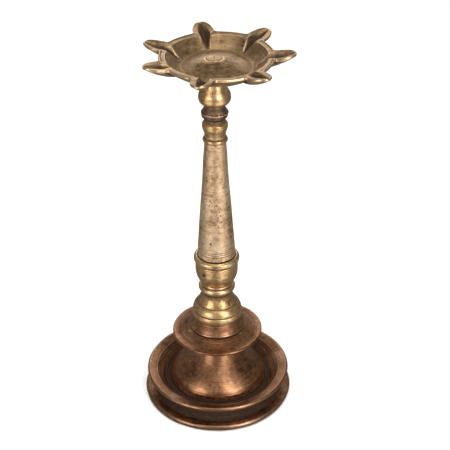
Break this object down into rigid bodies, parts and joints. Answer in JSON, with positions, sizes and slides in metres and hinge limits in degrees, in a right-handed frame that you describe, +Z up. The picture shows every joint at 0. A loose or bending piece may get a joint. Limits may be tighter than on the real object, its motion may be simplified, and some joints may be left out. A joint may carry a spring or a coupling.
{
  "type": "standing oil lamp",
  "caption": "Turned brass standing oil lamp: spouted oil dish on a tapered column, drip saucer, tray with a bell and a flared foot.",
  "frame": {"origin": "on the lamp's axis, at the level of the surface it stands on", "axes": "+Z up along the column, -Y towards the viewer, +X to the viewer's right"},
  "size_m": [0.14, 0.14, 0.35],
  "materials": {
    "base_brown": "red-brown patina over turned brass, dark in the grooves",
    "column_gold": "worn golden brass, finely pitted",
    "dish_gold": "dull golden-brown cast brass with turned rings",
    "dark_brown": "dark brown patina",
    "bare_brass": "bare machined brass"
  },
  "bodies": {
    "base": {"foot_plate": "base_brown", "drip_tray": "base_brown"},
    "saucer_stack": {"drip_saucer": "base_brown", "seat_ring": "base_brown"},
    "column": {"baluster": "column_gold", "base_screw": "bare_brass", "shaft": "column_gold", "shaft_pin": "dark_brown"},
    "neck_stack": {"neck_collar": "column_gold", "neck_bead": "column_gold", "neck_ring": "dark_brown", "knop": "column_gold"},
    "dish": {"oil_dish": "dish_gold", "neck_rod": "bare_brass"}
  },
  "joints": [
    {"name": "column_turn", "type": "hinge", "parent": "base", "child": "saucer_stack", "pos_m": [0, 0, 0.066], "axis": [0, 0, 1], "range_deg": [0, 1800]},
    {"name": "column_rise", "type": "slide", "parent": "saucer_stack", "child": "column", "axis": [0, 0, 1], "range_m": [0, 0.015]},
    {"name": "dish_turn", "type": "hinge", "parent": "column", "child": "neck_stack", "pos_m": [0, 0, 0.2666], "axis": [0, 0, 1], "range_deg": [0, 2160]},
    {"name": "dish_rise", "type": "slide", "parent": "neck_stack", "child": "dish", "axis": [0, 0, 1], "range_m": [0, 0.012]}
  ],
  "couplings": [
    {"joint": "column_rise", "follows": "column_turn", "m_per_rad": 0.00047746},
    {"joint": "dish_rise", "follows": "dish_turn", "m_per_rad": 0.00031831}
  ]
}
